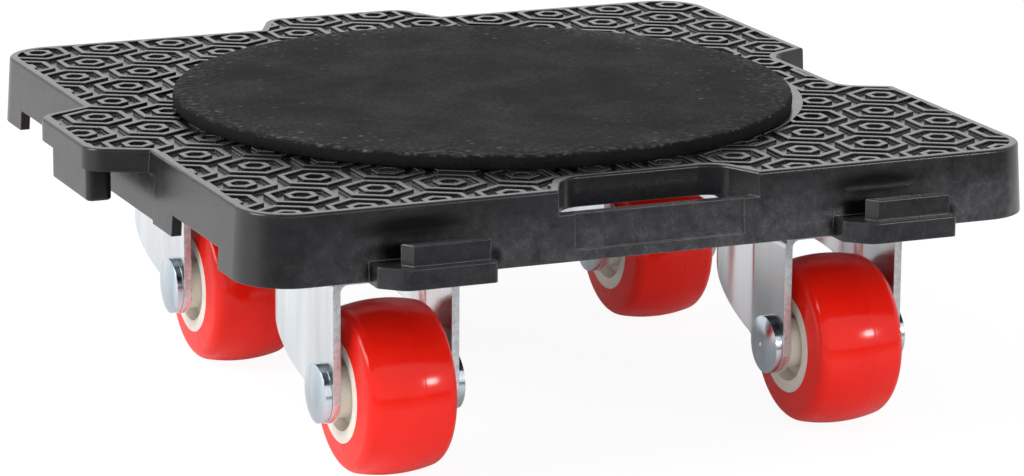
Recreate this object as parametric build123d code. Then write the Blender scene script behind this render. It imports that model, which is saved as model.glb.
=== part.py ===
"""Furniture roller: a square interlocking plastic dolly on four swivel castors.

Millimetres, +Z up. The origin is on the floor, under the middle of the part's outer box.
+X is to the right of the front edge and +Y points to the back edge.
"""
from build123d import *
import os
from math import hypot, radians, sqrt, tan

# Deck moulding
deck_side = 240.0          # square side at the top edge
deck_corner = 15.0         # plan radius of the four corners
skirt_height = 20.3        # top face down to the skirt's lower edge
skirt_draft = 3.5          # degrees that the skirt leans out for the mould
skirt_wall = 3.0
top_thickness = 3.6
edge_round = 0.8           # rounded top edge

# Raised honeycomb on the deck's top
cell_pitch = 22.0          # distance between the middles of two cells
cell_ring = 18.4           # outer ring of a cell, across flats
core_ring = 8.4            # inner ring of a cell, across flats
ridge_width = 1.6
relief_depth = 1.1
rim_width = 2.4            # plain border of the deck's top
cell_shift_x = 0.5         # where the pattern's first cell stands
cell_shift_y = -3.0

# Pad glued on a plain disc of the deck's top
pad_diameter = 187.0
pad_thickness = 4.2
pad_round = 1.0
pad_shift_x = -5.0         # glued on a little off the disc's middle
pad_shift_y = -3.2

# Joining tabs, on the left and back edges
tab_reach = 16.4           # out from the deck's top edge
tab_root_width = 63.0
tab_tip_width = 47.0
tab_tip_round = 8.0
tab_thickness = 6.7
lip_length = 35.0          # hanging lip under the tab
lip_thickness = 7.6
lip_drop = 10.6
lip_inset = 2.0            # set in from the tab's tip
lip_round = 2.0            # its upright corners
lip_edge_round = 0.8       # its lower edge

# Joining notches, on the front and right edges
join_clearance = 0.4       # around a neighbour's tab and hooks
notch_wall = 2.4           # wall round the notch
notch_wall_height = 8.9
panel_width = 52.0         # sunk panel below the notch
panel_foot = 3.2           # plain band under the panel
panel_depth = 0.7

# Joining hooks, on the front and right edges
hook_offset = 70.7         # middle of the edge to the middle of a hook
hook_length = 33.4
hook_reach = 12.0          # out from the skirt's lower edge
hook_drop = 0.4            # its underside lies this much below the skirt
hook_thickness = 6.0
hook_bevel_along = 6.4     # bevelled end of the hook
hook_bevel_out = 6.0
hook_bevel_round = 6.0
hook_corner = 1.5          # its other corners
hook_edge_round = 0.5      # upper edges of hook and lip
hook_lip_start = 6.8       # bevelled end of the hook to the lip
hook_lip_end = 1.5         # other end of the hook to the lip
hook_lip_inset = 2.5       # set in from the hook's outer face
hook_lip_thickness = 3.3
hook_lip_height = 6.0
hook_lip_bevel = 2.4

# Cut-outs for a neighbour's hooks, on the left and back edges
cutout_slack = 5.6         # free length past the hook's outer end
cutout_clearance = 0.6     # above the hook
sunk_width = 74.0          # slightly sunk stretch of skirt behind the tab
sunk_depth = 0.8
sunk_lift = 0.4            # its lower edge stands this much higher

# Ribs and castor seats under the deck
rib_thickness = 2.2
rib_depth = 8.0
rib_offset = 36.0          # two ribs each way, this far from the middle
seat_rib_thickness = 2.4
boss_diameter = 11.0
screw_depth = 11.0         # how far a screw goes into its boss

# Castor layout
castor_spacing_x = 140.0
castor_spacing_y = 128.0
castor_trail = 24.5        # swivel axis to axle, level
seat_depth = 17.7          # deck's top down to the castor plates

# Castor plate and swivel
plate_length = 62.0
plate_width = 50.0
plate_thickness = 2.5
plate_corner = 6.0
hole_spacing_x = 46.0
hole_spacing_y = 34.0
hole_diameter = 5.0
race_gap = 4.8             # fork crown to castor plate
ball_diameter = 5.4
ball_count = 10
race_diameter = 29.0       # circle through the balls' middles
race_clearance = 0.2       # ball to groove
kingpin_diameter = 10.0
kingpin_head_diameter = 16.0
kingpin_head_height = 2.0
washer_diameter = 26.0
washer_thickness = 1.5
swivel_clearance = 0.2     # washer to fork, flat to flat
running_clearance = 0.06   # radial, shaft to hole

# Screws
screw_diameter = 4.4
screw_head_diameter = 8.6
screw_head_height = 2.6

# Fork, pressed from sheet
fork_sheet = 2.3
fork_width = 38.0          # over the two legs
cup_diameter = 45.0        # rounded back of the fork, about the swivel axis
cup_blend = 8.0            # leg to cup
crown_round = 4.5          # outer bend from the crown to the legs
axle_to_crown = 35.3       # axle up to the crown's top
leg_end_radius = 8.8       # leg's rounded end about the axle
back_bow_place = 20.3      # a point that the curved back edge passes, behind the axle
back_bow_height = 7.0      # and above it
back_height = 24.0         # back edge's height over the axle, at the cup's back

# Wheel and axle
wheel_diameter = 50.0
wheel_width = 28.4         # over the hub rings
crown_radius = 45.0        # curve across the tread
shoulder_width = 26.4      # tread width where crown and sides would meet
shoulder_round = 4.0
hub_ring_diameter = 29.8   # where tread meets core on the wheel's side
hub_ring_width = 3.5
hub_recess_depth = 3.6
hub_recess_slope = 1.2     # how much the recess narrows to its floor
hub_diameter = 15.0
hub_side_play = 0.5        # hub's end to the fork leg
key_width = 9.0            # ridge of the core that holds the tread
key_height = 2.4
bond_gap = 0.05            # between pieces seated on each other
sleeve_diameter = 10.0
axle_diameter = 6.0
axle_head_diameter = 17.0
axle_head_height = 2.0
axle_head_dome = 1.0

# Levels and shares worked out from the sizes above
axle_z = wheel_diameter / 2
crown_z = axle_z + axle_to_crown
plate_z = crown_z + race_gap
seat_z = plate_z + plate_thickness
deck_z = seat_z + seat_depth
skirt_z = deck_z - skirt_height
skirt_flare = skirt_height * tan(radians(skirt_draft))
half_deck = deck_side / 2
half_skirt = half_deck + skirt_flare
ledge_z = deck_z - tab_thickness - join_clearance
hook_z = skirt_z - hook_drop
tab_slope = (tab_root_width - tab_tip_width) / 2 / tab_reach
washer_z = crown_z - fork_sheet - swivel_clearance - washer_thickness
leg_inner = fork_width / 2 - fork_sheet
# Joined decks touch at their skirts' feet, and a neighbour's lip then clears the wall below the notch.
ledge_wall = tab_reach - lip_inset - lip_thickness - 2 * skirt_flare - join_clearance
spare = 5.0                # how far a cutting solid runs past what it cuts

# The part's outer box runs from a tab to a hook, so its middle lies off the deck's middle.
frame_shift = (half_deck + tab_reach - half_skirt - hook_reach) / 2
deck_place = Pos(frame_shift, -frame_shift, 0)

# Turns about Z that bring the +X edge to each edge of the deck
TAB_EDGES = (180, 90)      # left and back
NOTCH_EDGES = (-90, 0)     # front and right
FRONT_EDGE = NOTCH_EDGES[0]
DIAGONAL = Plane((0, 0, 0), z_dir=(1, 1, 0))   # the right edge mirrors the front edge about it
CASTORS = {
    "front_left": (-1, -1),
    "front_right": (1, -1),
    "rear_left": (-1, 1),
    "rear_right": (1, 1),
}


def block(x_range, y_range, z_range):
    """Box between two corners."""
    (x0, x1), (y0, y1), (z0, z1) = x_range, y_range, z_range
    middle = Pos((x0 + x1) / 2, (y0 + y1) / 2, (z0 + z1) / 2)
    return middle * Box(x1 - x0, y1 - y0, z1 - z0)


def prism(plan, z_low, z_high):
    """Plan drawn on the floor, raised between two levels."""
    return extrude(Pos(0, 0, z_low) * plan, z_high - z_low)


def outline(*points):
    """Closed straight-sided plan."""
    return make_face(Polyline(*points, close=True))


def turned(profile):
    """Half profile in X (radius) and Z, revolved about Z."""
    return revolve(Plane.XZ * profile, Axis.Z)


def rounded(plan, *corners):
    """Plan with some of its corners rounded, each given by its place and its radius."""
    for place, radius in corners:
        plan = fillet(plan.vertices().sort_by_distance(place)[0], radius)
    return plan


def soft_topped(solid, radius):
    """Solid with a rounded edge all round its upper face."""
    return fillet(solid.faces().sort_by(Axis.Z)[-1].edges(), radius)


def wedge_plan(x_root, x_tip, root_width, tip_width, corner):
    """Trapezium along X with rounded corners at its tip."""
    low_tip, high_tip = (x_tip, -tip_width / 2), (x_tip, tip_width / 2)
    plan = outline((x_root, -root_width / 2), low_tip, high_tip, (x_root, root_width / 2))
    return rounded(plan, (low_tip, corner), (high_tip, corner))


def tab_plan(inset):
    """Tab on the +X edge, drawn in by an inset, with a root that runs back into the deck."""
    lean = sqrt(1 + tab_slope**2)
    x_tip = half_deck + tab_reach - inset
    x_root = half_deck - tab_reach
    tip_width = tab_tip_width + 2 * inset * (tab_slope - lean)
    root_width = tip_width + 2 * tab_slope * (x_tip - x_root)
    return wedge_plan(x_root, x_tip, root_width, tip_width, tab_tip_round - inset)


def notch_plan(grow):
    """Space for a neighbour's tab in the +X edge, grown on all sides, open to the outside."""
    lean = sqrt(1 + tab_slope**2)
    x_tip = half_deck + 2 * skirt_flare - tab_reach - grow
    x_mouth = half_deck + spare
    tip_width = tab_tip_width + 2 * grow * (lean - tab_slope)
    mouth_width = tip_width + 2 * tab_slope * (x_mouth - x_tip)
    return wedge_plan(x_mouth, x_tip, mouth_width, tip_width, tab_tip_round + grow)


def top_plan(inset):
    """The deck's whole top outline, drawn in by an inset."""
    side = deck_side - 2 * inset
    plan = RectangleRounded(side, side, deck_corner - inset)
    for turn in TAB_EDGES:
        plan += Rot(0, 0, turn) * tab_plan(inset)
    for turn in NOTCH_EDGES:
        plan -= Rot(0, 0, turn) * notch_plan(join_clearance + inset)
    return plan


def drafted_block(inset, z_top):
    """Square block that leans out towards the skirt's lower edge."""
    top_side = 2 * (half_deck + (deck_z - z_top) * tan(radians(skirt_draft)) - inset)
    low_side = 2 * (half_skirt - inset)
    top = RectangleRounded(top_side, top_side, deck_corner + (top_side - deck_side) / 2)
    low = RectangleRounded(low_side, low_side, deck_corner + (low_side - deck_side) / 2)
    return loft([Pos(0, 0, skirt_z) * low, Pos(0, 0, z_top) * top], ruled=True)


def hexagon(across_flats):
    """Hexagon with points towards +Y and -Y."""
    return RegularPolygon(across_flats / 2, 6, major_radius=False, rotation=30)


def hexagon_ring(across_flats):
    """One raised ridge of a honeycomb cell."""
    return hexagon(across_flats) - hexagon(across_flats - 2 * ridge_width)


def honeycomb_grooves():
    """Sunk plan of the deck's top: the panel round the plain disc, less the raised ridges."""
    panel = top_plan(rim_width) - Circle(pad_diameter / 2)
    row_pitch = cell_pitch * sqrt(3) / 2
    reach = half_deck + tab_reach
    rows = int(reach / row_pitch) + 1
    columns = int(reach / cell_pitch) + 1
    hidden = pad_diameter / 2 - cell_ring
    rings = [hexagon_ring(cell_ring), hexagon_ring(core_ring)]
    ridges = []
    for row in range(-rows, rows + 1):
        for column in range(-columns, columns + 1):
            x = cell_shift_x + cell_pitch * (column + row % 2 / 2)
            y = cell_shift_y + row_pitch * row
            if hypot(x, y) > hidden:
                ridges += [Pos(x, y) * ring for ring in rings]
    return panel - ridges


def tab_lip():
    """Lip that hangs under a tab and drops into a neighbour's notch."""
    x_outer = half_deck + tab_reach - lip_inset
    z_high = deck_z - tab_thickness
    lip = block(
        (x_outer - lip_thickness, x_outer), (-lip_length / 2, lip_length / 2), (z_high - lip_drop, z_high)
    )
    lip = fillet(lip.edges().filter_by(Axis.Z), lip_round)
    return fillet(lip.faces().sort_by(Axis.Z)[0].edges(), lip_edge_round)


def hook(middle):
    """Ledge at the skirt's foot with an upstanding lip, which holds a neighbour's skirt."""
    start, end = middle - hook_length / 2, middle + hook_length / 2
    x_root = half_skirt - skirt_wall
    x_outer = half_skirt + hook_reach
    bevel_start, bevel_end = (x_outer - hook_bevel_out, start), (x_outer, start + hook_bevel_along)
    ledge = rounded(
        outline((x_root, start), bevel_start, bevel_end, (x_outer, end), (x_root, end)),
        (bevel_start, hook_corner), (bevel_end, hook_bevel_round), ((x_outer, end), hook_corner),
    )
    lip_outer = x_outer - hook_lip_inset
    lip_inner = lip_outer - hook_lip_thickness
    lip_start, lip_end = start + hook_lip_start, end - hook_lip_end
    lip = outline(
        (lip_inner, lip_start), (lip_outer, lip_start + hook_lip_bevel),
        (lip_outer, lip_end), (lip_inner, lip_end),
    )
    ledge_top = hook_z + hook_thickness
    ledge = soft_topped(prism(ledge, hook_z, ledge_top), hook_edge_round)
    return ledge + soft_topped(prism(lip, ledge_top, ledge_top + hook_lip_height), hook_edge_round)


def deck_blank():
    """Drafted block with its tabs and notches, and a rounded top edge."""
    blank = drafted_block(0, deck_z)
    tab = prism(tab_plan(0), deck_z - tab_thickness, deck_z)
    notch = prism(notch_plan(join_clearance), ledge_z, deck_z + spare)
    for turn in TAB_EDGES:
        blank += Rot(0, 0, turn) * tab
    for turn in NOTCH_EDGES:
        blank -= Rot(0, 0, turn) * notch
    return fillet(blank.faces().sort_by(Axis.Z)[-1].outer_wire().edges(), edge_round)


def deck_hollow():
    """Space under the deck, which leaves a short wall round each notch and opens its floor."""
    hollow = drafted_block(skirt_wall, deck_z - top_thickness)
    shell = prism(notch_plan(join_clearance + notch_wall), deck_z - notch_wall_height, deck_z)
    well = prism(notch_plan(join_clearance), skirt_z, deck_z)
    well &= drafted_block(ledge_wall, deck_z)
    for turn in NOTCH_EDGES:
        hollow -= Rot(0, 0, turn) * shell
    for turn in NOTCH_EDGES:
        hollow += Rot(0, 0, turn) * well
    return hollow


def skirt_recess(depth, width, z_low, z_high):
    """Shallow sunk area in the middle of the +X skirt, which leans with it."""
    area = block((half_deck - spare, half_skirt + spare), (-width / 2, width / 2), (z_low, z_high))
    return area - drafted_block(depth, deck_z)


def notch_panel():
    """Sunk panel in the skirt below a notch."""
    return skirt_recess(panel_depth, panel_width, skirt_z + panel_foot, deck_z)


def tab_edge_cuts():
    """Sunk stretch of skirt behind a tab, and the two cut-outs for a neighbour's hooks."""
    through = (half_deck - 2 * skirt_wall, half_skirt + spare)
    along = (-sunk_width / 2, sunk_width / 2)
    cuts = [
        skirt_recess(sunk_depth, sunk_width, skirt_z, deck_z - tab_thickness),
        block(through, along, (skirt_z - spare, skirt_z + sunk_lift)),
    ]
    start = hook_offset - hook_length / 2 - join_clearance
    end = hook_offset + hook_length / 2 + cutout_slack
    z_range = (skirt_z - spare, hook_z + hook_thickness + cutout_clearance)
    cuts += [block(through, opening, z_range) for opening in ((start, end), (-end, -start))]
    return cuts


def deck_ribs():
    """Two ribs each way across the underside."""
    reach = half_deck - skirt_wall / 2
    z_range = (deck_z - top_thickness - rib_depth, deck_z - top_thickness)
    ribs = []
    for middle in (-rib_offset, rib_offset):
        across = (middle - rib_thickness / 2, middle + rib_thickness / 2)
        ribs.append(block(across, (-reach, reach), z_range))
        ribs.append(block((-reach, reach), across, z_range))
    return ribs


def castor_seat():
    """Four screw bosses joined by ribs, which end level with the castor plate's top."""
    frame = Rectangle(hole_spacing_x + seat_rib_thickness, hole_spacing_y + seat_rib_thickness)
    frame -= Rectangle(hole_spacing_x - seat_rib_thickness, hole_spacing_y - seat_rib_thickness)
    frame += [place * Circle(boss_diameter / 2) for place in screw_places()]
    return prism(frame, seat_z, deck_z - top_thickness)


def screw_places():
    """The four screws of one castor, about its swivel axis."""
    return GridLocations(hole_spacing_x, hole_spacing_y, 2, 2)


def castor_place(corner):
    """Swivel axis of one castor."""
    side_x, side_y = CASTORS[corner]
    return Pos(side_x * castor_spacing_x / 2, side_y * castor_spacing_y / 2, 0)


def deck():
    """One moulding: top, drafted skirt, joining edges, ribs, castor seats and honeycomb."""
    body = deck_blank() - deck_hollow()
    for turn in NOTCH_EDGES:
        body -= Rot(0, 0, turn) * notch_panel()
    for middle in (-hook_offset, hook_offset):
        front_hook = Rot(0, 0, FRONT_EDGE) * hook(middle)
        body += [front_hook, mirror(front_hook, DIAGONAL)]
    for turn in TAB_EDGES:
        body -= [Rot(0, 0, turn) * cut for cut in tab_edge_cuts()]
        body += Rot(0, 0, turn) * tab_lip()
    body += deck_ribs()
    pilot = Circle(screw_diameter / 2 + bond_gap)
    for corner in CASTORS:
        body += castor_place(corner) * castor_seat()
        pilots = [prism(place * pilot, seat_z, seat_z + screw_depth) for place in screw_places()]
        body -= [castor_place(corner) * hole for hole in pilots]
    return body - prism(honeycomb_grooves(), deck_z - relief_depth, deck_z + spare)


def top_pad():
    """Round anti-slip pad, glued on the deck."""
    pad = prism(Circle(pad_diameter / 2), deck_z, deck_z + pad_thickness)
    return Pos(pad_shift_x, pad_shift_y, 0) * soft_topped(pad, pad_round)


def race_place():
    """Middle of the ball row, half way between plate and crown."""
    return Pos(0, 0, crown_z + race_gap / 2)


def race_groove():
    """Ring that the balls' grooves are cut with."""
    return race_place() * Torus(race_diameter / 2, ball_diameter / 2 + race_clearance)


def castor_plate():
    """Top plate with its four screw holes and the upper ball groove."""
    plan = RectangleRounded(plate_length, plate_width, plate_corner)
    plan -= [place * Circle(hole_diameter / 2) for place in screw_places()]
    plan -= Circle(kingpin_diameter / 2 + bond_gap)
    return prism(plan, plate_z, seat_z) - race_groove()


def kingpin():
    """Rivet that the fork turns on, headed above the plate and below the washer."""
    shaft, head = kingpin_diameter / 2, kingpin_head_diameter / 2
    low = washer_z - bond_gap
    high = seat_z + bond_gap
    bevel = kingpin_head_height / 2
    profile = outline(
        (0, low - kingpin_head_height), (head - bevel, low - kingpin_head_height), (head, low - bevel),
        (head, low), (shaft, low), (shaft, high), (head, high), (head, high + bevel),
        (head - bevel, high + kingpin_head_height), (0, high + kingpin_head_height),
    )
    return turned(profile)


def thrust_washer():
    """Washer under the fork's crown, bevelled below."""
    plan = Circle(washer_diameter / 2) - Circle(kingpin_diameter / 2 + bond_gap)
    washer = prism(plan, washer_z, washer_z + washer_thickness)
    rim = washer.faces().sort_by(Axis.Z)[0].outer_wire().edges()
    return chamfer(rim, washer_thickness / 2)


def swivel_balls():
    """Ball row between plate and fork."""
    ball = Sphere(ball_diameter / 2)
    return [race_place() * place * ball for place in PolarLocations(race_diameter / 2, ball_count)]


def plate_screws():
    """Four pan-head screws that hold the plate to the deck's bosses."""
    shank, head = screw_diameter / 2, screw_head_diameter / 2
    low = plate_z - bond_gap
    tip = seat_z + screw_depth - shank
    bevel = screw_head_height / 2
    profile = outline(
        (0, low - screw_head_height), (head - bevel, low - screw_head_height), (head, low - bevel),
        (head, low), (shank, low), (shank, tip - shank), (0, tip),
    )
    return [place * turned(profile) for place in screw_places()]


def fork_plan(inset, front):
    """Two straight legs that run into a rounded cup about the swivel axis."""
    legs = Pos(0, front / 2) * Rectangle(fork_width - 2 * inset, -front)
    plan = legs + Circle(cup_diameter / 2 - inset)
    meets = [corner for corner in plan.vertices() if front < corner.Y < 0]
    return fillet(meets, cup_blend + inset)


def fork_side():
    """Side outline of the fork: straight front, round end about the axle, curved back edge."""
    end = leg_end_radius
    corner = end / sqrt(2)
    back = castor_trail + cup_diameter / 2
    return make_face([
        Polyline((-end, 0), (-end, 2 * axle_to_crown), (back, 2 * axle_to_crown), (back, back_height)),
        ThreePointArc((back, back_height), (back_bow_place, back_bow_height), (corner, -corner)),
        ThreePointArc((corner, -corner), (0, -end), (-end, 0)),
    ])


def fork():
    """Pressed fork: crown, two legs and a rounded back, with its ball groove and holes."""
    low = axle_z - leg_end_radius - spare
    front = -castor_trail - leg_end_radius - crown_round - spare
    outer = soft_topped(prism(fork_plan(0, front), low, crown_z), crown_round)
    inner = prism(fork_plan(fork_sheet, front - spare), low - spare, crown_z - fork_sheet)
    inner = soft_topped(inner, crown_round - fork_sheet)
    side = Plane.YZ * Pos(-castor_trail, axle_z) * fork_side()
    shell = (outer - inner) & extrude(side, cup_diameter, both=True)
    shell -= race_groove()
    shell -= prism(Circle(kingpin_diameter / 2 + running_clearance), low, crown_z + spare)
    return shell - axle_line() * Cylinder(axle_diameter / 2 + bond_gap, 2 * fork_width)


def axle_line():
    """Lays a piece made along Z on the axle's line."""
    return Pos(0, -castor_trail, axle_z) * Rot(0, 90, 0)


def both_ways(profile):
    """Half profile, from the wheel's middle outwards, turned about the axle and mirrored."""
    half = turned(profile)
    return axle_line() * (half + mirror(half, Plane.XY))


def axle():
    """Rivet through both legs, with a low domed head at each end."""
    shaft, head = axle_diameter / 2, axle_head_diameter / 2
    seat = fork_width / 2 + bond_gap
    rim = seat + axle_head_height
    top = rim + axle_head_dome
    profile = make_face([
        Polyline((0, top), (0, 0), (shaft, 0), (shaft, seat), (head, seat), (head, rim)),
        TangentArc((0, top), (head, rim), tangent=(1, 0)),
    ])
    return both_ways(profile)


def axle_sleeve():
    """Spacer tube between the legs that the wheel runs on."""
    tube = Circle(sleeve_diameter / 2) - Circle(axle_diameter / 2 + bond_gap)
    half = leg_inner - bond_gap
    return axle_line() * prism(tube, -half, half)


def wheel_core():
    """Moulded core: a ring at each side, recessed webs, a hub and a keyed rim."""
    face = wheel_width / 2
    floor = face - hub_recess_depth
    rim = hub_ring_diameter / 2 - bond_gap
    key = rim + key_height
    ring = hub_ring_diameter / 2 - hub_ring_width
    hub = hub_diameter / 2
    hub_end = leg_inner - hub_side_play
    bore = sleeve_diameter / 2 + running_clearance
    profile = outline(
        (bore, 0), (bore, hub_end), (hub, hub_end), (hub, floor), (ring - hub_recess_slope, floor),
        (ring, face), (rim, face), (rim, key_width / 2), (key, key_width / 2), (key, 0),
    )
    return both_ways(profile)


def wheel_tread():
    """Soft tread, crowned across, with rounded shoulders and leaning sides."""
    outer, face = wheel_diameter / 2, wheel_width / 2
    side = shoulder_width / 2
    edge = outer - crown_radius + sqrt(crown_radius**2 - side**2)
    ring = hub_ring_diameter / 2
    key, key_end = ring + key_height, key_width / 2 + bond_gap
    profile = make_face([
        TangentArc((outer, 0), (edge, side), tangent=(0, 1)),
        Polyline((edge, side), (ring, face), (ring, key_end), (key, key_end), (key, 0), (outer, 0)),
    ])
    return both_ways(rounded(profile, ((edge, side), shoulder_round)))


CASTOR_PIECES = {
    "plate": castor_plate,
    "kingpin": kingpin,
    "thrust_washer": thrust_washer,
    "swivel_balls": swivel_balls,
    "plate_screws": plate_screws,
    "fork": fork,
    "axle": axle,
    "axle_sleeve": axle_sleeve,
    "wheel_core": wheel_core,
    "wheel_tread": wheel_tread,
}


def save(node, pieces):
    """One STEP file for each node, moved into the part's frame."""
    solids = [solid for piece in pieces for solid in (deck_place * piece).solids()]
    whole = solids[0] if len(solids) == 1 else Compound(children=solids)
    export_step(whole, f"parts/{node}.step")


def main():
    os.makedirs("parts", exist_ok=True)
    save("deck", [deck()])
    save("top_pad", [top_pad()])
    for name, make in CASTOR_PIECES.items():
        made = make()
        pieces = made if isinstance(made, list) else [made]
        for corner in CASTORS:
            save(f"{corner}_{name}", [castor_place(corner) * piece for piece in pieces])


main()
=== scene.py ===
# %% [markdown]
# # A furniture roller, dressed for its photograph
# The solids of the roller are already made to size. This lesson loads them as a fixed frame, gives
# each one the finish of the real piece, makes the soft pad again as a mesh, and sets up camera and
# light. Everything is in metres, with the floor at z = 0 and the front edge towards -Y.

# %% Load the frame
import math
import bpy
import bmesh
from mathutils import Matrix, Vector, noise


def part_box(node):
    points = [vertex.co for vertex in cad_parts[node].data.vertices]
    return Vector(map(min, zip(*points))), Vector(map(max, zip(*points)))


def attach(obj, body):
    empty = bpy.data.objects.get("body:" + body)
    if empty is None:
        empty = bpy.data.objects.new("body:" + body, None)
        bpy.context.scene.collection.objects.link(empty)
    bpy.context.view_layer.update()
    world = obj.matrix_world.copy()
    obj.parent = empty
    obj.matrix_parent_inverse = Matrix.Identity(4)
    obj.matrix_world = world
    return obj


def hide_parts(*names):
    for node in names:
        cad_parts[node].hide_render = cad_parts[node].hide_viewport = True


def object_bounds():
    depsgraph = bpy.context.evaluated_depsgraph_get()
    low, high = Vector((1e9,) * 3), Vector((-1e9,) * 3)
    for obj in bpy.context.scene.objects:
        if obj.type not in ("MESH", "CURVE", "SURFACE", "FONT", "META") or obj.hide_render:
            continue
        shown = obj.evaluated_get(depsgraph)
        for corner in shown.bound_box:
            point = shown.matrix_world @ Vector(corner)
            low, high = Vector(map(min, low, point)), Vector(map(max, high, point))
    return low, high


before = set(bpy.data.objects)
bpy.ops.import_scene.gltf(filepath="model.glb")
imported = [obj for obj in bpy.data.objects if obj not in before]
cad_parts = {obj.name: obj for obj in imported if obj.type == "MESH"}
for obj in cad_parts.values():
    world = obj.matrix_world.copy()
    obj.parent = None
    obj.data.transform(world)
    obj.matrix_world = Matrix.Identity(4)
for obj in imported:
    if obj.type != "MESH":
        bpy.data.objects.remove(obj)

cad_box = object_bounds()
MM = 0.001
cad_sides = Vector(cad_box[1]) - Vector(cad_box[0])
print("nodes:", len(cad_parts), "box in mm:", [round(side / MM, 1) for side in cad_sides])

# %% [markdown]
# ## Where things are
# Most places come from the frame, so the scene follows if the solids change. The castor plates lie
# evenly about the deck's middle, so two opposite ones give it. The pad's underside is the deck's
# top. Two sizes that no box gives are written down: half the deck's side, and how far the hooks on
# the front and right edges stand from the middle of their edge.


# %% Measure the frame
def box_middle(node):
    """Middle of a solid's box."""
    low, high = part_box(node)
    return (Vector(low) + Vector(high)) / 2


pad_low, pad_high = (Vector(corner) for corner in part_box("top_pad"))
pad_middle = box_middle("top_pad")
pad_radius = (pad_high.x - pad_low.x) / 2
pad_thickness = pad_high.z - pad_low.z
deck_middle = (box_middle("front_left_plate") + box_middle("rear_right_plate")) / 2
deck_middle.z = pad_low.z
HALF_DECK = 120 * MM
HOOK_MIDDLE = 70.7 * MM
print("deck top at", round(deck_middle.z / MM, 1), "mm")
print("pad radius", round(pad_radius / MM, 1), "mm")

# %% [markdown]
# ## The camera
# The deck is a square, so its four corners in the photograph fix the camera: how far it is turned,
# dipped and tilted, how long the lens is, and where it stands. A long lens far away gives nearly
# parallel edges.

# %% Camera
CAMERA_FROM_DECK = Vector((-507.9, -1207.4, 285.6)) * MM
CAMERA_TURN = math.radians(23.07)     # to the right of +Y
CAMERA_DIP = math.radians(14.14)      # below the horizon
CAMERA_TILT = math.radians(0.39)
LENS_MM = 155.45
SENSOR_MM = 36.0


def add_object(name, data):
    """New object with this data, linked to the scene."""
    thing = bpy.data.objects.new(name, data)
    bpy.context.collection.objects.link(thing)
    return thing


camera_data = bpy.data.cameras.new("camera")
camera_data.sensor_fit = "HORIZONTAL"
camera_data.sensor_width = SENSOR_MM
camera_data.lens = LENS_MM
camera = add_object("camera", camera_data)
camera.matrix_world = (
    Matrix.Translation(deck_middle + CAMERA_FROM_DECK)
    @ Matrix.Rotation(-CAMERA_TURN, 4, "Z")
    @ Matrix.Rotation(math.pi / 2 - CAMERA_DIP, 4, "X")
    @ Matrix.Rotation(CAMERA_TILT, 4, "Z")
)
bpy.context.scene.camera = camera
print("camera at", [round(value, 3) for value in camera.location])

# %% [markdown]
# ## Helpers for materials
# A colour picked on a screen is sRGB, but a shader wants linear light, so one function turns a hex
# value to linear. Another adds a node with its options and inputs. An input is a value, a socket,
# or a whole node, which then gives its first output in use. Pattern scales are worked out from real
# sizes: a noise of scale s has features about 1 / s metres wide. A noise mostly stays between 0.3
# and 0.7, so that span is stretched where a pattern has to reach from 0 to 1.

# %% Material helpers
NOISE_SPAN = {"From Min": 0.3, "From Max": 0.7}
FALLING = {"To Min": 1.0, "To Max": 0.0}


def linear(hex_colour):
    """sRGB hex to a linear colour with alpha."""
    colour = []
    for place in (1, 3, 5):
        value = int(hex_colour[place:place + 2], 16) / 255
        colour.append(value / 12.92 if value <= 0.04045 else ((value + 0.055) / 1.055) ** 2.4)
    return (*colour, 1.0)


def add_node(tree, kind, inputs=None, **options):
    """Adds a node, sets its options, and sets or links its inputs."""
    node = tree.nodes.new(f"ShaderNode{kind}")
    for name, value in options.items():
        setattr(node, name, value)
    for name, value in (inputs or {}).items():
        if isinstance(value, bpy.types.Node):
            value = next(output for output in value.outputs if output.enabled)
        if isinstance(value, bpy.types.NodeSocket):
            tree.links.new(value, node.inputs[name])
        else:
            node.inputs[name].default_value = value
    return node


def per_mm(size_mm):
    """Texture scale that gives features of this size."""
    return 1 / (size_mm * MM)


def new_material(name):
    """Empty node material, its tree, and coordinates that stay with the solid."""
    material = bpy.data.materials.new(name)
    material.use_nodes = True
    tree = material.node_tree
    tree.nodes.clear()
    return material, tree, add_node(tree, "TexCoord")


def mottled(tree, cloud, span, dark, light):
    """Tone that goes from dark to light while a noise goes through its span."""
    tint = add_node(tree, "MapRange", {"Value": cloud, **span})
    return add_node(tree, "Mix", {
        "Factor": tint, "A": linear(dark), "B": linear(light),
    }, data_type="RGBA")


print("a mid grey of #808080 is", round(linear("#808080")[0], 3), "in linear light")

# %% [markdown]
# ## Black polypropylene
# The deck is injection-moulded polypropylene, dyed through. The tool's surface was finely eroded,
# which gives a satin skin: nearly black face on, and grey where it is seen at a flat angle and
# mirrors the white room. The melt's flow leaves cloudy streaks along the skirt, so the dye follows
# a noise that is squeezed in height.

# %% Deck: dyed plastic
CLOUD_MM = 34
CLOUD_SQUEEZE = (1.0, 1.0, 2.4)


def dyed_plastic(tree, place):
    """Tone of the clean plastic, and the melt's flow that it follows."""
    streaked = add_node(tree, "Mapping", {"Vector": place, "Scale": CLOUD_SQUEEZE})
    cloud = add_node(tree, "TexNoise", {
        "Vector": streaked, "Scale": per_mm(CLOUD_MM),
        "Detail": 7.0, "Roughness": 0.6, "Distortion": 0.5,
    })
    flow = add_node(tree, "MapRange", {"Value": cloud, "From Min": 0.34, "From Max": 0.68})
    tone = add_node(tree, "Mix", {
        "Factor": flow, "A": linear("#0E0E10"), "B": linear("#202023"),
    }, data_type="RGBA")
    return tone, flow


print("clouds in the dye are", CLOUD_MM, "mm wide")
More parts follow.
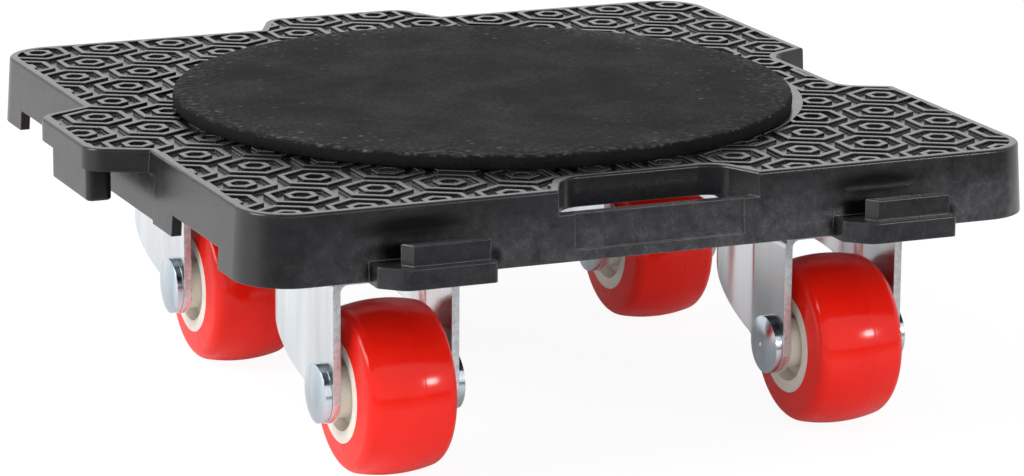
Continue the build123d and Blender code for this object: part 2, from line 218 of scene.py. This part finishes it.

# %% [markdown]
# ## Dust and painted light on the skirt
# Handling dusts the outside of the skirt, and the same pale layer also carries painted light. As a
# painted reflection it is thickest low down and towards the right, the front left corner is nearly
# clean and hooks and tabs take less; as painted shade the notches take none. Each of these is a
# ramp along one measure from the deck's middle, and the layer is a fine smear times all the ramps.

# %% Deck: dust and painted light
SMEAR_MM = 5
DUST_AND_PAINTED_LIGHT_RAMPS = (                        # measure, where it starts and ends, share of dust and painted light at both ends
    ("height", -16 * MM, -2 * MM, 1.0, 0.1),
    ("along", -115 * MM, -86 * MM, 0.1, 1.0),
    ("along", -20 * MM, 80 * MM, 0.95, 1.35),
    ("outward", HALF_DECK + 1.3 * MM, HALF_DECK + 1.6 * MM, 1.0, 0.35),
    ("outward", HALF_DECK - 9 * MM, HALF_DECK - 5 * MM, 0.0, 1.0),
)


def skirt_dust_and_painted_light(tree, place, from_middle):
    """Share of dust and painted light, and the smear that it follows."""
    side = add_node(tree, "SeparateXYZ", {"Vector": from_middle})
    outer = add_node(tree, "VectorMath", {0: from_middle}, operation="ABSOLUTE")
    outer = add_node(tree, "SeparateXYZ", {"Vector": outer})
    outer = add_node(tree, "Math", {
        0: outer.outputs["X"], 1: outer.outputs["Y"],
    }, operation="MAXIMUM")
    measures = {"height": side.outputs["Z"], "along": side.outputs["X"], "outward": outer}

    smear = add_node(tree, "TexNoise", {
        "Vector": place, "Scale": per_mm(SMEAR_MM), "Detail": 8.0, "Roughness": 0.8,
    })
    dust_and_painted_light = add_node(tree, "MapRange", {"Value": smear, "From Min": 0.30, "From Max": 0.85})
    # painted reflection and painted shade: the ramps make the pale layer thicker low down and to
    # the right, and thinner at the front left corner, on hooks and tabs and in the notches
    for measure, start, end, share_at_start, share_at_end in DUST_AND_PAINTED_LIGHT_RAMPS:
        ramp = add_node(tree, "MapRange", {
            "Value": measures[measure], "From Min": start, "From Max": end,
            "To Min": share_at_start, "To Max": share_at_end,
        })
        dust_and_painted_light = add_node(tree, "Math", {0: dust_and_painted_light, 1: ramp}, operation="MULTIPLY")
    return dust_and_painted_light, smear


print("dust follows", len(DUST_AND_PAINTED_LIGHT_RAMPS), "ramps")

# %% [markdown]
# ## Flow marks and painted shade round the hooks
# Behind each hook the wall is thick and cools late, which leaves a dark, glossier flow mark in the
# band right above the hook. The other dark marks, beside and below it, are painted shade and
# painted shadow of the hook's ledge and lip. A mark is a soft ellipsoid: its mask falls with the
# distance from its middle, measured in its half sizes. The right edge repeats the front edge,
# turned by a quarter.

# %% Deck: flow marks and painted shade
# In millimetres: along from the hook's middle, below the deck's top, half length, half height
GLOSSY_MARKS = ((-3.6, 6.0, 21, 4.8),)
# painted shade: dark patches beside and below each hook, where its ledge and lip shade the wall
PAINTED_SHADE_MARKS = ((-10.0, 13.0, 14, 5.0), (-15.0, 17.5, 4.5, 5.0), (20.5, 16.5, 3.2, 3.6))
MARK_REACH_MM = 8                     # into the wall
MARK_CORE = 0.30                      # share of its half sizes in which a mark is at its darkest


def mark_places(marks):
    """Middle of each mark at each hook, and the scale that makes its half sizes 1."""
    for hook in (-HOOK_MIDDLE, HOOK_MIDDLE):
        for shift, below, half_length, half_height in marks:
            along, height = hook + shift * MM, -below * MM
            long, deep, tall = per_mm(half_length), per_mm(MARK_REACH_MM), per_mm(half_height)
            yield (along, -HALF_DECK, height), (long, deep, tall)
            yield (HALF_DECK, -along, height), (deep, long, tall)


def flow_and_shade_marks(tree, from_middle, marks):
    """Mask of the marks at all hooks."""
    mask = None
    for middle, scale in mark_places(marks):
        away = add_node(tree, "VectorMath", {0: from_middle, 1: middle}, operation="SUBTRACT")
        away = add_node(tree, "VectorMath", {0: away, 1: scale}, operation="MULTIPLY")
        away = add_node(tree, "VectorMath", {0: away}, operation="LENGTH")
        mark = add_node(tree, "MapRange", {
            "Value": away, "From Min": MARK_CORE, "From Max": 1.0, **FALLING,
        }, interpolation_type="SMOOTHSTEP")
        if mask is not None:
            mark = add_node(tree, "Math", {0: mask, 1: mark}, operation="MAXIMUM")
        mask = mark
    return mask


print("marks round the hooks:", len(list(mark_places(GLOSSY_MARKS + PAINTED_SHADE_MARKS))))

# %% [markdown]
# ## Rubbed edges with painted highlights, and the whole deck
# Handling rubs the edges pale, in patches that follow the melt's flow, and the pale edges also
# stand in as a painted highlight along them. A bevel node finds those edges: where its rounded
# normal leaves the true one, there is an edge. The colour is then built up in layers, from the dye
# over dust and painted light and over the marks and painted shade to the rubbed edges and painted
# highlights.

# %% Deck finish
DECK_EDGE = 0.4 * MM                  # radius to which the bevel node rounds an edge
AGREE_ON_EDGE, AGREE_OFF_EDGE = 0.80, 0.985       # how well both normals agree
SKIN_GRAIN_MM = 0.8                   # coarser than the real grain, which is too fine to show
MARK_ROUGHNESS = 0.18


def edge_mask(tree, rounded):
    """Mask of the edges that a bevel node has rounded."""
    true = add_node(tree, "NewGeometry")
    agree = add_node(tree, "VectorMath", {
        0: rounded, 1: true.outputs["Normal"],
    }, operation="DOT_PRODUCT")
    return add_node(tree, "MapRange", {
        "Value": agree, "From Min": AGREE_ON_EDGE, "From Max": AGREE_OFF_EDGE, **FALLING,
    })


def black_polypropylene():
    material, tree, where = new_material("black moulded polypropylene")
    place = where.outputs["Object"]
    from_middle = add_node(tree, "VectorMath", {0: place, 1: deck_middle}, operation="SUBTRACT")
    colour, flow = dyed_plastic(tree, place)
    dust_and_painted_light, smear = skirt_dust_and_painted_light(tree, place, from_middle)
    glossy = flow_and_shade_marks(tree, from_middle, GLOSSY_MARKS)
    # painted shade: the dark patches beside and below the hooks
    matt = flow_and_shade_marks(tree, from_middle, PAINTED_SHADE_MARKS)
    marks = add_node(tree, "Math", {0: glossy, 1: matt}, operation="MAXIMUM")
    rounded = add_node(tree, "Bevel", {"Radius": DECK_EDGE}, samples=6)
    # wear and painted highlight: a pale layer along the edges that the bevel node finds
    rubbed_and_highlit = add_node(tree, "Math", {0: edge_mask(tree, rounded), 1: flow}, operation="MULTIPLY")
    # the pale dust layer carries painted reflection and shade, the dark marks painted shade, and
    # the rubbed edges painted highlights
    for share, layer in ((dust_and_painted_light, "#565659"), (marks, "#050505"), (rubbed_and_highlit, "#88888B")):
        colour = add_node(tree, "Mix", {
            "Factor": share, "A": colour, "B": linear(layer),
        }, data_type="RGBA")

    satin = add_node(tree, "MapRange", {
        "Value": smear, **NOISE_SPAN, "To Min": 0.22, "To Max": 0.30,
    })
    gloss = add_node(tree, "Mix", {"Factor": glossy, "A": satin, "B": MARK_ROUGHNESS})
    grain = add_node(tree, "TexNoise", {
        "Vector": place, "Scale": per_mm(SKIN_GRAIN_MM), "Detail": 3.0,
    })
    skin = add_node(tree, "Bump", {
        "Height": grain, "Strength": 0.12, "Distance": 0.15 * MM, "Normal": rounded,
    })
    shader = add_node(tree, "BsdfPrincipled", {
        "Base Color": colour, "Roughness": gloss, "IOR": 1.49, "Normal": skin,
    })
    add_node(tree, "OutputMaterial", {"Surface": shader})
    return material


deck_finish = black_polypropylene()
print("made", deck_finish.name, "with", len(deck_finish.node_tree.nodes), "nodes")

# %% [markdown]
# ## Foam rubber
# The pad is cut from a sheet of closed-cell foam rubber. The knife opens cells, which makes the top
# matt and finely speckled, with broad clouds where it catches the light differently. Dust sits in
# some cells as pale flecks, more of them towards the rim, and there the top is also scuffed and
# crumbly. The cut side is clean. Flecks are the dots of a Voronoi pattern, which gives each cell a
# random colour as well: that serves as its chance to hold a fleck.

# %% Pad: flecks and scuffs
FLECK_SPACING_MM = 4.5
FLECK_FULL, FLECK_GONE = 0.075, 0.24  # distances from a cell's middle, as shares of the spacing
FLECKS_FROM, FLECKS_MOST = 0.20, 0.97             # shares of the pad's radius
CRUMB_MM = 2.2
SCUFFED_RIM = 18 * MM                 # how far in the scuffs reach
RIM = 1.0 * MM


def dust_flecks(tree, place, outward, on_top):
    """Share of fleck: round dots in some cells, more of them towards the rim."""
    cells = add_node(tree, "TexVoronoi", {"Vector": place, "Scale": per_mm(FLECK_SPACING_MM)})
    dot = add_node(tree, "MapRange", {
        "Value": cells, "From Min": FLECK_FULL, "From Max": FLECK_GONE, **FALLING,
    })
    to_rim = add_node(tree, "MapRange", {
        "Value": outward,
        "From Min": pad_radius * FLECKS_FROM, "From Max": pad_radius * FLECKS_MOST,
    })
    chance = add_node(tree, "SeparateXYZ", {"Vector": cells.outputs["Color"]})
    held = add_node(tree, "Math", {0: chance.outputs["X"], 1: to_rim}, operation="MULTIPLY")
    held = add_node(tree, "MapRange", {"Value": held, "From Min": 0.30, "From Max": 0.8})
    held = add_node(tree, "Math", {0: held, 1: on_top}, operation="MULTIPLY")
    return add_node(tree, "Math", {0: dot, 1: held}, operation="MULTIPLY")


def rim_scuffs(tree, place, outward, on_top):
    """Share of scuff: a crumbly noise that fades out inwards from the rim."""
    crumbs = add_node(tree, "TexNoise", {
        "Vector": place, "Scale": per_mm(CRUMB_MM), "Detail": 5.0, "Roughness": 0.7,
    })
    scuff = add_node(tree, "MapRange", {"Value": crumbs, "From Min": 0.50, "From Max": 0.74})
    at_rim = add_node(tree, "MapRange", {
        "Value": outward, "From Min": pad_radius - SCUFFED_RIM, "From Max": pad_radius - RIM,
    }, interpolation_type="SMOOTHSTEP")
    for share in (at_rim, on_top):
        scuff = add_node(tree, "Math", {0: scuff, 1: share}, operation="MULTIPLY")
    return scuff


print("flecks every", FLECK_SPACING_MM, "mm, scuffs", round(SCUFFED_RIM / MM), "mm in from the rim")

# %% Pad finish
FOAM_CELL_MM = 1.3
FOAM_CLOUD_MM = 26
FOAM_SPAN = {"From Min": 0.80, "From Max": 1.22}  # of the two noises added up
SIDE_END, TOP_START = 0.9 * MM, 0.4 * MM          # below the top


def foam_rubber():
    material, tree, where = new_material("black closed-cell foam rubber")
    place = where.outputs["Object"]
    cells = add_node(tree, "TexNoise", {
        "Vector": place, "Scale": per_mm(FOAM_CELL_MM), "Detail": 4.0, "Roughness": 0.7,
    })
    cloud = add_node(tree, "TexNoise", {
        "Vector": place, "Scale": per_mm(FOAM_CLOUD_MM), "Detail": 6.0, "Roughness": 0.65,
    })
    grey = add_node(tree, "Math", {0: cells, 1: cloud}, operation="ADD")
    colour = mottled(tree, grey, FOAM_SPAN, "#080808", "#1C1C1D")

    level = add_node(tree, "VectorMath", {0: place, 1: (1.0, 1.0, 0.0)}, operation="MULTIPLY")
    outward = add_node(tree, "VectorMath", {0: level}, operation="LENGTH")
    above = add_node(tree, "SeparateXYZ", {"Vector": place})
    on_top = add_node(tree, "MapRange", {
        "Value": above.outputs["Z"],
        "From Min": pad_thickness - SIDE_END, "From Max": pad_thickness - TOP_START,
    })
    flecks = dust_flecks(tree, place, outward, on_top)
    scuffs = rim_scuffs(tree, place, outward, on_top)
    for share, layer in ((flecks, "#5C5C5C"), (scuffs, "#58585A")):
        colour = add_node(tree, "Mix", {
            "Factor": share, "A": colour, "B": linear(layer),
        }, data_type="RGBA")

    matt = add_node(tree, "MapRange", {"Value": grey, **FOAM_SPAN, "To Min": 0.63, "To Max": 0.95})
    skin = add_node(tree, "Bump", {"Height": grey, "Strength": 0.35, "Distance": 0.35 * MM})
    shader = add_node(tree, "BsdfPrincipled", {
        "Base Color": colour, "Roughness": matt, "IOR": 1.45, "Specular IOR Level": 0.14,
        "Normal": skin,
    })
    add_node(tree, "OutputMaterial", {"Surface": shader})
    return material


pad_finish = foam_rubber()
print("made", pad_finish.name, "with", len(pad_finish.node_tree.nodes), "nodes")

# %% [markdown]
# ## Red polyurethane
# The treads are cast polyurethane, glossy from a polished mould. A little light goes into it, so
# the red stays warm in the shade. The mould's two halves leave a fine line round the tread, a
# little off its middle. Generated coordinates run from 0 to 1 across each solid, so one material
# finds that line on every wheel. Seen at a flat angle the gloss turns hazy.

# %% Tread finish
MOULD_LINE = 0.60                     # across the tread, from 0 at its left side to 1
MOULD_LINE_WIDTH = 0.010
TREAD_CLOUD_MM = 15
TREAD_WAVE = 0.4                      # height of the clouds, against 1 for the mould line
TREAD_HAZE = 0.35                     # roughness added at the flattest angle


def off_plane(tree, where, plane):
    """Distance from a plane across a solid, whose width is 1."""
    across = add_node(tree, "SeparateXYZ", {"Vector": where.outputs["Generated"]})
    away = add_node(tree, "Math", {0: across.outputs["X"], 1: plane}, operation="SUBTRACT")
    return add_node(tree, "Math", {0: away}, operation="ABSOLUTE")


def red_polyurethane():
    material, tree, where = new_material("red cast polyurethane")
    cloud = add_node(tree, "TexNoise", {
        "Vector": where.outputs["Object"], "Scale": per_mm(TREAD_CLOUD_MM), "Detail": 4.0,
    })
    tone = mottled(tree, cloud, NOISE_SPAN, "#E6190D", "#EE2214")

    ridge = add_node(tree, "MapRange", {
        "Value": off_plane(tree, where, MOULD_LINE),
        "From Min": 0.0, "From Max": MOULD_LINE_WIDTH, **FALLING,
    }, interpolation_type="SMOOTHSTEP")
    wave = add_node(tree, "Math", {0: cloud, 1: TREAD_WAVE}, operation="MULTIPLY")
    relief = add_node(tree, "Math", {0: ridge, 1: wave}, operation="ADD")
    skin = add_node(tree, "Bump", {"Height": relief, "Strength": 0.35, "Distance": 0.2 * MM})

    gloss = add_node(tree, "MapRange", {
        "Value": cloud, **NOISE_SPAN, "To Min": 0.09, "To Max": 0.14,
    })
    slant = add_node(tree, "LayerWeight", {"Blend": 0.3})
    haze = add_node(tree, "Math", {
        0: slant.outputs["Facing"], 1: TREAD_HAZE,
    }, operation="MULTIPLY")
    gloss = add_node(tree, "Math", {0: gloss, 1: haze}, operation="ADD")
    shader = add_node(tree, "BsdfPrincipled", {
        "Base Color": tone, "Roughness": gloss, "IOR": 1.50, "Specular IOR Level": 0.30,
        "Normal": skin,
        "Subsurface Weight": 0.12, "Subsurface Radius": (1.0, 0.12, 0.08),
        "Subsurface Scale": 1.5 * MM,
    })
    add_node(tree, "OutputMaterial", {"Surface": shader})
    return material


tread_finish = red_polyurethane()
print("made", tread_finish.name, "with", len(tread_finish.node_tree.nodes), "nodes")

# %% [markdown]
# ## Cream nylon
# The wheel cores are natural nylon, a warm off-white and slightly milky. Dust settles in the recess
# round the hub, which is further in than the ring at the wheel's side, and the darker tone there is
# also painted shade. Generated coordinates tell how far in.

# %% Core finish
CORE_CLOUD_MM = 5
CORE_MIDDLE = 0.5                     # across the core, from 0 at its left side to 1
RECESS_FLOOR, RECESS_TOP = 0.30, 0.40             # from that middle
RECESS_DUST_AND_SHADE = 0.75


def cream_nylon():
    material, tree, where = new_material("natural moulded nylon")
    cloud = add_node(tree, "TexNoise", {
        "Vector": where.outputs["Object"], "Scale": per_mm(CORE_CLOUD_MM),
        "Detail": 6.0, "Roughness": 0.65,
    })
    tone = mottled(tree, cloud, NOISE_SPAN, "#E2D9CB", "#EDE7DC")
    # dust and painted shade: a greyer, browner tone in the recess round the hub
    recess = add_node(tree, "MapRange", {
        "Value": off_plane(tree, where, CORE_MIDDLE),
        "From Min": RECESS_FLOOR, "From Max": RECESS_TOP, "To Min": RECESS_DUST_AND_SHADE, "To Max": 0.0,
    })
    dust_and_painted_light = add_node(tree, "Math", {0: recess, 1: cloud}, operation="MULTIPLY")
    dusty_and_shaded = add_node(tree, "Mix", {
        "Factor": dust_and_painted_light, "A": tone, "B": linear("#8F8478"),
    }, data_type="RGBA")
    skin = add_node(tree, "Bump", {"Height": cloud, "Strength": 0.08, "Distance": 0.2 * MM})
    shader = add_node(tree, "BsdfPrincipled", {
        "Base Color": dusty_and_shaded, "Roughness": 0.40, "IOR": 1.53, "Normal": skin,
        "Subsurface Weight": 0.2, "Subsurface Radius": (1.0, 0.8, 0.6),
        "Subsurface Scale": 1.5 * MM,
    })
    add_node(tree, "OutputMaterial", {"Surface": shader})
    return material


core_finish = cream_nylon()
print("made", core_finish.name, "with", len(core_finish.node_tree.nodes), "nodes")

# %% [markdown]
# ## Bright zinc
# Forks, plates and rivets are steel with a bright zinc plating, a cool bluish white. Drawing the
# sheet leaves faint upright streaks, and the plating varies a little in gloss. The press shears the
# sheet's edges: half of the cut is torn, so the forks' front edges are greyer and rougher, with
# short dark ticks. The object's own normal tells which faces those are, and stays right when the
# fork swivels. Rivets and the polished bearing balls are made the same way, with nothing torn.

# %% Zinc: sheared edges
FORK_FRONT = (0.0, -1.0, 0.0)
TICK_MM = 1.6


def sheared_front(tree, where, torn):
    """How much of a face is cut by the press, and the torn ticks on it."""
    facing = add_node(tree, "VectorMath", {
        0: where.outputs["Normal"], 1: FORK_FRONT,
    }, operation="DOT_PRODUCT")
    cut = add_node(tree, "MapRange", {
        "Value": facing, "From Min": 0.97, "From Max": 0.995, "To Max": torn,
    })
    ticks = add_node(tree, "TexNoise", {
        "Vector": where.outputs["Object"], "Scale": per_mm(TICK_MM),
        "Detail": 4.0, "Roughness": 0.8,
    })
    tear = add_node(tree, "MapRange", {"Value": ticks, "From Min": 0.42, "From Max": 0.62})
    tear = add_node(tree, "Math", {0: tear, 1: cut}, operation="MULTIPLY")
    return cut, tear


print("ticks on the cut edges are", TICK_MM, "mm wide")

# %% Zinc finish
STREAK_STRETCH = (1.0, 1.0, 0.12)     # streaks are long in height
CUT_ROUGHNESS = 0.25                  # added on a cut face
METAL_EDGE = 0.3 * MM


def bright_steel(name, dark, light, streak_mm, roughness, torn):
    material, tree, where = new_material(name)
    stretched = add_node(tree, "Mapping", {
        "Vector": where.outputs["Object"], "Scale": STREAK_STRETCH,
    })
    streak = add_node(tree, "TexNoise", {
        "Vector": stretched, "Scale": per_mm(streak_mm), "Detail": 5.0,
    })
    cut, tear = sheared_front(tree, where, torn)
    colour = add_node(tree, "Mix", {
        "Factor": tear, "A": mottled(tree, streak, NOISE_SPAN, dark, light), "B": linear("#8A8C8F"),
    }, data_type="RGBA")

    gloss = add_node(tree, "MapRange", {
        "Value": streak, **NOISE_SPAN, "To Min": roughness * 0.8, "To Max": roughness * 1.25,
    })
    dull = add_node(tree, "Math", {0: cut, 1: CUT_ROUGHNESS}, operation="MULTIPLY")
    gloss = add_node(tree, "Math", {0: gloss, 1: dull}, operation="ADD")
    rounded = add_node(tree, "Bevel", {"Radius": METAL_EDGE}, samples=4)
    relief = add_node(tree, "Math", {0: tear, 1: streak}, operation="ADD")
    skin = add_node(tree, "Bump", {
        "Height": relief, "Strength": 0.10, "Distance": 0.2 * MM, "Normal": rounded,
    })
    shader = add_node(tree, "BsdfPrincipled", {
        "Base Color": colour, "Metallic": 1.0, "Roughness": gloss, "Normal": skin,
    })
    add_node(tree, "OutputMaterial", {"Surface": shader})
    return material


sheet_finish = bright_steel(
    "bright zinc on drawn steel sheet", "#D4D9DD", "#EAEDF0",
    streak_mm=6.0, roughness=0.22, torn=0.4,
)
rivet_finish = bright_steel(
    "bright zinc on a headed rivet", "#B8C6D1", "#DBE5EC",
    streak_mm=4.0, roughness=0.14, torn=0.0,
)
ball_finish = bright_steel(
    "polished bearing steel", "#B4B8BC", "#D0D4D8",
    streak_mm=1.0, roughness=0.10, torn=0.0,
)
print("made", ", ".join(finish.name for finish in (sheet_finish, rivet_finish, ball_finish)))

# %% [markdown]
# ## Dress the solids
# Each node's name ends in the piece that it is, so one table gives every solid its finish. A
# castor's pieces have the corner that it stands at in front of that.

# %% Give each solid its finish
CORNERS = ("front_left", "front_right", "rear_left", "rear_right")
FINISHES = {
    "deck": deck_finish, "top_pad": pad_finish,
    "wheel_tread": tread_finish, "wheel_core": core_finish,
    "fork": sheet_finish, "plate": sheet_finish,
    "thrust_washer": sheet_finish, "axle_sleeve": sheet_finish,
    "axle": rivet_finish, "kingpin": rivet_finish, "plate_screws": rivet_finish,
    "swivel_balls": ball_finish,
}
for name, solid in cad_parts.items():
    piece = name
    for corner in CORNERS:
        piece = piece.removeprefix(f"{corner}_")
    solid.data.materials.clear()
    solid.data.materials.append(FINISHES[piece])
print("dressed", len(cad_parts), "solids")

# %% [markdown]
# ## The pad
# A sliced foam disc is not a perfect cylinder: the knife leaves the edge slightly wavy, the rim is
# pressed a little round, and the top is not quite flat. The mesh is turned from a short profile,
# ring by ring, and each point is then moved by a smooth noise that repeats from run to run.

# %% Draw the pad's profile
UNDERSIDE_INSETS = (1.0 * MM, 0.5 * MM)           # rings that the pad stands on
SIDE_INSET = 0.35 * MM                # room for the waves inside the pad's full radius
SIDE_SHARES = (0.12, 0.35, 0.6)       # heights of the side's rings, as shares of the thickness
BULGE = 0.25 * MM
EDGE_ROUND = 0.9 * MM
EDGE_STEPS = 4
TOP_RINGS = 26


def pad_profile():
    """Radius and height of each ring, from the underside's rim over the edge to the middle."""
    rings = [(pad_radius - inset, 0.0) for inset in UNDERSIDE_INSETS]
    side = pad_radius - SIDE_INSET
    for share in SIDE_SHARES:
        rings.append((side + BULGE * math.sin(math.pi * share), pad_thickness * share))
    for step in range(EDGE_STEPS + 1):
        turn = math.pi / 2 * step / EDGE_STEPS
        rings.append((
            side - EDGE_ROUND * (1 - math.cos(turn)),
            pad_thickness - EDGE_ROUND * (1 - math.sin(turn)),
        ))
    rim = rings[-1][0]
    rings += [(rim * (1 - step / TOP_RINGS), pad_thickness) for step in range(1, TOP_RINGS)]
    return rings


print("rings in the pad's profile:", len(pad_profile()))

# %% Turn the pad
PAD_STEPS = 192                       # points in a ring
WAVE = 0.12 * MM
WAVES = ((22, 0.5), (9, 0.25))        # length in millimetres, and share of the height
WAVY_RIM = 0.9                        # share of the radius from where the edge is wavy


def pad_point(radius, height, step):
    """One point of a ring, moved by the noise."""
    angle = 2 * math.pi * step / PAD_STEPS
    point = Vector((radius * math.cos(angle), radius * math.sin(angle), height))
    wave = sum(noise.noise(point * per_mm(length)) * share for length, share in WAVES)
    lift = -WAVE * (1 + wave) if height > pad_thickness / 2 else 0.0
    out = 1 + WAVE * wave / pad_radius if radius > pad_radius * WAVY_RIM else 1.0
    return point.x * out, point.y * out, point.z + lift


def turn_pad():
    """Closed mesh of the pad, with its underside at z = 0."""
    mesh = bmesh.new()
    loops = [
        [mesh.verts.new(pad_point(radius, height, step)) for step in range(PAD_STEPS)]
        for radius, height in pad_profile()
    ]
    middle = mesh.verts.new((0, 0, pad_thickness - WAVE))
    steps = [(step, (step + 1) % PAD_STEPS) for step in range(PAD_STEPS)]
    for low, high in zip(loops, loops[1:]):
        for step, after in steps:
            mesh.faces.new((low[step], low[after], high[after], high[step]))
    for step, after in steps:
        mesh.faces.new((loops[-1][step], loops[-1][after], middle))
    mesh.faces.new(list(reversed(loops[0])))
    for face in mesh.faces:
        face.smooth = True
    data = bpy.data.meshes.new("grip_pad")
    mesh.to_mesh(data)
    mesh.free()
    return data


grip_pad = add_object("grip_pad", turn_pad())
grip_pad.location = (pad_middle.x, pad_middle.y, pad_low.z)
grip_pad.data.materials.append(pad_finish)
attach(grip_pad, "base")
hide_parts("top_pad")
print("pad points:", len(grip_pad.data.vertices))

# %% [markdown]
# ## Studio
# The photograph has a pure white background. World and floor are therefore white to the camera and
# in reflections, but the floor keeps a share of its real shading, so that the roller's soft shadow
# stays. The Light Path node tells what a ray is for.

# %% White world
WORLD_FILL = 0.55                     # strength of the light that the world gives


def seen_directly(tree, mirrored):
    """1 for what the camera or a glass shows, less for a mirror, and 0 for light on things."""
    rays = add_node(tree, "LightPath")
    mirror = add_node(tree, "Math", {
        0: rays.outputs["Is Glossy Ray"], 1: mirrored,
    }, operation="MULTIPLY")
    seen = add_node(tree, "Math", {
        0: rays.outputs["Is Camera Ray"], 1: mirror,
    }, operation="MAXIMUM")
    return add_node(tree, "Math", {
        0: seen, 1: rays.outputs["Is Transmission Ray"],
    }, operation="MAXIMUM")


world = bpy.data.worlds.new("white studio")
bpy.context.scene.world = world
world.use_nodes = True
sky = world.node_tree
sky.nodes.clear()
fill = add_node(sky, "Background", {"Color": linear("#FFFFFF"), "Strength": WORLD_FILL})
white = add_node(sky, "Background", {"Color": linear("#FFFFFF"), "Strength": 1.0})
both = add_node(sky, "MixShader", {0: seen_directly(sky, 1.0), 1: fill, 2: white})
add_node(sky, "OutputWorld", {"Surface": both})
print("world:", world.name)

# %% White floor
FLOOR_GLOW = 0.86                     # share of plain white; the rest is the lit paper
FLOOR_LIFT = 1.075                    # makes up for the paper's grey: both add up to white
FLOOR_MIRRORED = 0.12                 # of that glow in reflections, which keep the shadow
FLOOR_SIDES = (-6.0, 6.0)
PAPER_FIBRE_MM = 2                    # coarser than real fibres, which are too fine to show


def fibre_tone(tree, where, width_mm, dark, light):
    """Tone that varies from fibre to fibre."""
    fibres = add_node(tree, "TexNoise", {
        "Vector": where.outputs["Object"], "Scale": per_mm(width_mm), "Detail": 3.0,
    })
    return add_node(tree, "Mix", {
        "Factor": fibres, "A": linear(dark), "B": linear(light),
    }, data_type="RGBA")


def white_paper():
    material, tree, where = new_material("white paper sweep")
    share = add_node(tree, "Math", {
        0: seen_directly(tree, FLOOR_MIRRORED), 1: FLOOR_GLOW,
    }, operation="MULTIPLY")
    tone = fibre_tone(tree, where, PAPER_FIBRE_MM, "#F6F6F6", "#FCFCFC")
    paper = add_node(tree, "BsdfDiffuse", {"Color": tone})
    glow = add_node(tree, "Emission", {"Color": linear("#FFFFFF"), "Strength": FLOOR_LIFT})
    both = add_node(tree, "MixShader", {0: share, 1: paper, 2: glow})
    add_node(tree, "OutputMaterial", {"Surface": both})
    return material


def card(name, x, y, z, finish):
    """Level card between two x and two y."""
    data = bpy.data.meshes.new(name)
    corners = [(x[0], y[0], z), (x[1], y[0], z), (x[1], y[1], z), (x[0], y[1], z)]
    data.from_pydata(corners, [], [(0, 1, 2, 3)])
    data.materials.append(finish)
    piece = add_object(name, data)
    return piece


floor = card("floor", x=FLOOR_SIDES, y=FLOOR_SIDES, z=0, finish=white_paper())
print("floor:", floor.data.materials[0].name)

# %% [markdown]
# ## Lamps
# A large lamp on the left models the skirt. One behind the roller, low down, is mirrored in the
# deck's top and draws its ridges. Two in front, one high and one low, only fill and are not
# mirrored. A small one on the right makes the bright spot on each wheel.

# %% Place the lamps
AIM = Vector((0.0, 0.0, 0.06))
LAMPS = (                             # name, place, width and height, watts, seen in reflections
    ("left softbox", (-1.5, 0.1, 1.1), (1.0, 1.0), 25.0, True),
    ("back softbox", (0.8, 1.85, 0.75), (1.6, 0.7), 1.5, True),
    ("front softbox", (0.4, -2.1, 1.4), (1.2, 1.2), 3.6, False),
    ("low softbox", (-0.8, -2.0, 0.4), (1.0, 0.5), 7.5, False),
    ("wheel softbox", (1.0, -1.7, 0.5), (0.32, 0.20), 7.0, True),
)
for name, place, size, watts, mirrored in LAMPS:
    data = bpy.data.lights.new(name, "AREA")
    data.shape = "RECTANGLE"
    data.size, data.size_y = size
    data.energy = watts
    light = add_object(name, data)
    light.location = place
    light.rotation_euler = (AIM - Vector(place)).to_track_quat("-Z", "Y").to_euler()
    light.visible_glossy = mirrored
print("lamps:", [light.name for light in bpy.data.lights])

# %% [markdown]
# ## Flags
# Felt cards, which only reflections show, keep glossy faces from turning pale: a grey one on the
# floor for the front faces, and a black one overhead for the wheels' tops. Photographers call them
# flags. The grey one gets pale towards the roller, so that its edge is not mirrored as a line.

# %% Hang the flags
FADE = {"From Min": -0.45, "From Max": -0.20}     # metres in front of the middle
FELT_FIBRE_MM = 3                     # coarser than real fibres, which are too fine to show


def felt(name, dark, light, pale):
    material, tree, where = new_material(name)
    tone = fibre_tone(tree, where, FELT_FIBRE_MM, dark, light)
    spot = add_node(tree, "SeparateXYZ", {"Vector": where.outputs["Object"]})
    near = add_node(tree, "MapRange", {"Value": spot.outputs["Y"], **FADE})
    graded = add_node(tree, "Mix", {
        "Factor": near, "A": tone, "B": linear(pale),
    }, data_type="RGBA")
    nap = add_node(tree, "BsdfDiffuse", {"Color": graded})
    add_node(tree, "OutputMaterial", {"Surface": nap})
    return material


grey_felt = felt("graded grey felt", "#2A2A2A", "#363636", pale="#D0D0D0")
black_felt = felt("black felt", "#0C0C0C", "#161616", pale="#161616")
floor_flag = card("floor flag", x=(-1.6, 1.8), y=(-1.6, -0.20), z=0.001, finish=grey_felt)
top_flag = card("top flag", x=(-2.5, 3.0), y=(-1.45, -0.15), z=1.25, finish=black_felt)
for flag in (floor_flag, top_flag):
    flag.visible_camera = False
    flag.visible_diffuse = False
    flag.visible_shadow = False
print("flags:", floor_flag.name, "and", top_flag.name)

# %% [markdown]
# ## Colour view
# The plain Standard view transform shows colours as written.

# %% Colour view
bpy.context.scene.view_settings.view_transform = "Standard"
